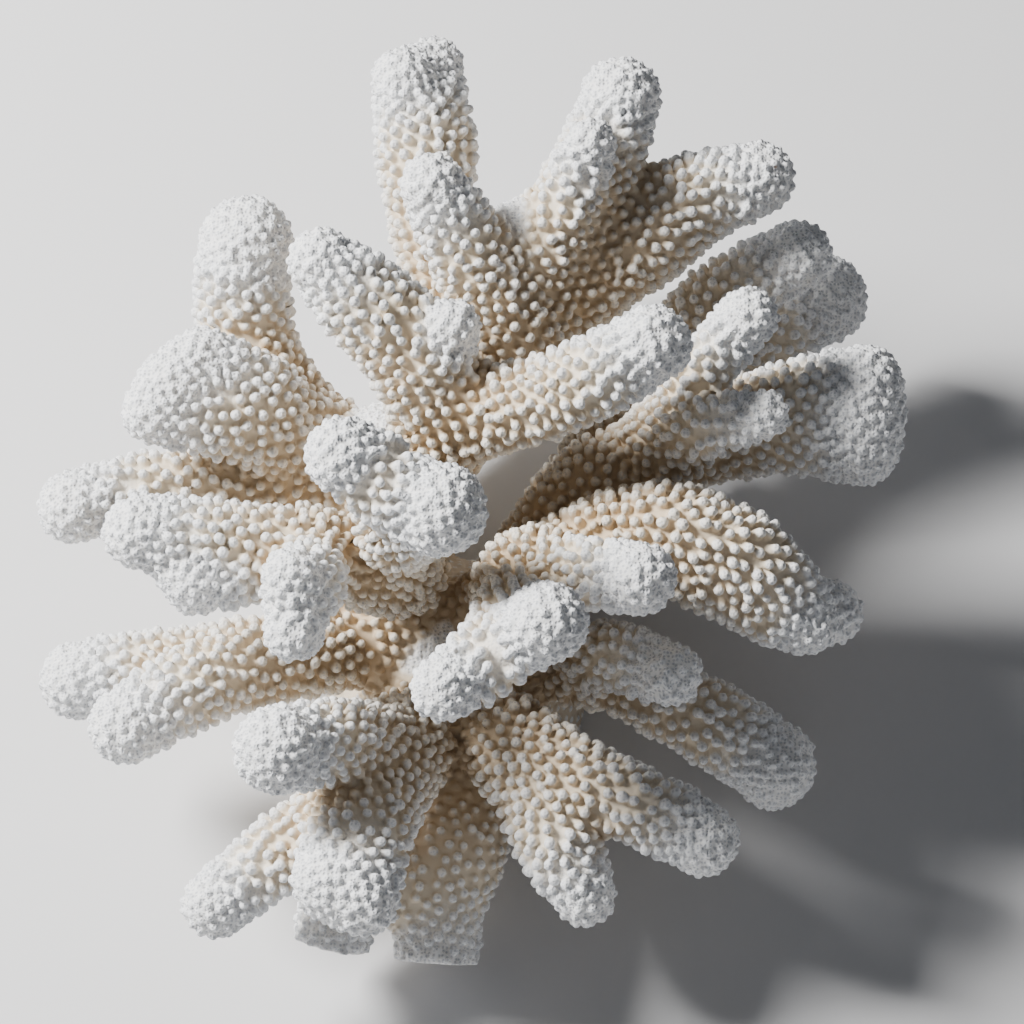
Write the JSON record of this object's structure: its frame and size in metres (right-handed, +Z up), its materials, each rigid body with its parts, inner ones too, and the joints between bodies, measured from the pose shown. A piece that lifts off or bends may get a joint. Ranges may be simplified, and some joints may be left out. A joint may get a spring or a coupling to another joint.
{
  "type": "branching coral",
  "caption": "Bleached branching coral colony: stubby warty fingers fanning out over a flat cut base, for display on a shelf or table.",
  "frame": {"origin": "centre of the flat cut face under the foot, which is the face the coral rests on", "axes": "+Z up from the cut face along the colony's growth, +X to the right as the picture shows it, +Y away from the camera"},
  "size_m": [0.183, 0.1994, 0.1287],
  "materials": {
    "trunk": "rough, porous, unglazed",
    "left_arm": "rough, porous, unglazed",
    "right_arm": "rough, porous, unglazed",
    "back_fan": "rough, porous, unglazed",
    "back_left_finger": "rough, porous, unglazed",
    "back_front_finger": "rough, porous, unglazed",
    "back_right_finger": "rough, porous, unglazed",
    "top_branch": "rough, porous, unglazed",
    "top_branch_right": "rough, porous, unglazed",
    "left_fan": "rough, porous, unglazed",
    "left_fan_upper": "rough, porous, unglazed",
    "left_fan_lower": "rough, porous, unglazed",
    "left_crown": "rough, porous, unglazed",
    "centre_crown": "rough, porous, unglazed",
    "left_low_branch": "rough, porous, unglazed",
    "front_left_branch": "rough, porous, unglazed",
    "front_left_upper": "rough, porous, unglazed",
    "front_low_branch": "rough, porous, unglazed",
    "front_right_branch": "rough, porous, unglazed",
    "right_low_branch": "rough, porous, unglazed",
    "right_low_finger": "rough, porous, unglazed",
    "right_crown_front": "rough, porous, unglazed",
    "right_crown_side": "rough, porous, unglazed",
    "right_arch": "rough, porous, unglazed",
    "right_fan": "rough, porous, unglazed",
    "upper_right_branch": "rough, porous, unglazed",
    "rear_branch": "rough, porous, unglazed",
    "rear_left_branch": "rough, porous, unglazed",
    "rear_right_branch": "rough, porous, unglazed"
  },
  "bodies": {
    "root": {"trunk": "trunk", "left_arm": "left_arm", "right_arm": "right_arm", "back_fan": "back_fan", "back_left_finger": "back_left_finger", "back_front_finger": "back_front_finger", "back_right_finger": "back_right_finger", "top_branch": "top_branch", "top_branch_right": "top_branch_right", "left_fan": "left_fan", "left_fan_upper": "left_fan_upper", "left_fan_lower": "left_fan_lower", "left_crown": "left_crown", "centre_crown": "centre_crown", "left_low_branch": "left_low_branch", "front_left_branch": "front_left_branch", "front_left_upper": "front_left_upper", "front_low_branch": "front_low_branch", "front_right_branch": "front_right_branch", "right_low_branch": "right_low_branch", "right_low_finger": "right_low_finger", "right_crown_front": "right_crown_front", "right_crown_side": "right_crown_side", "right_arch": "right_arch", "right_fan": "right_fan", "upper_right_branch": "upper_right_branch", "rear_branch": "rear_branch", "rear_left_branch": "rear_left_branch", "rear_right_branch": "rear_right_branch"}
  },
  "joints": []
}
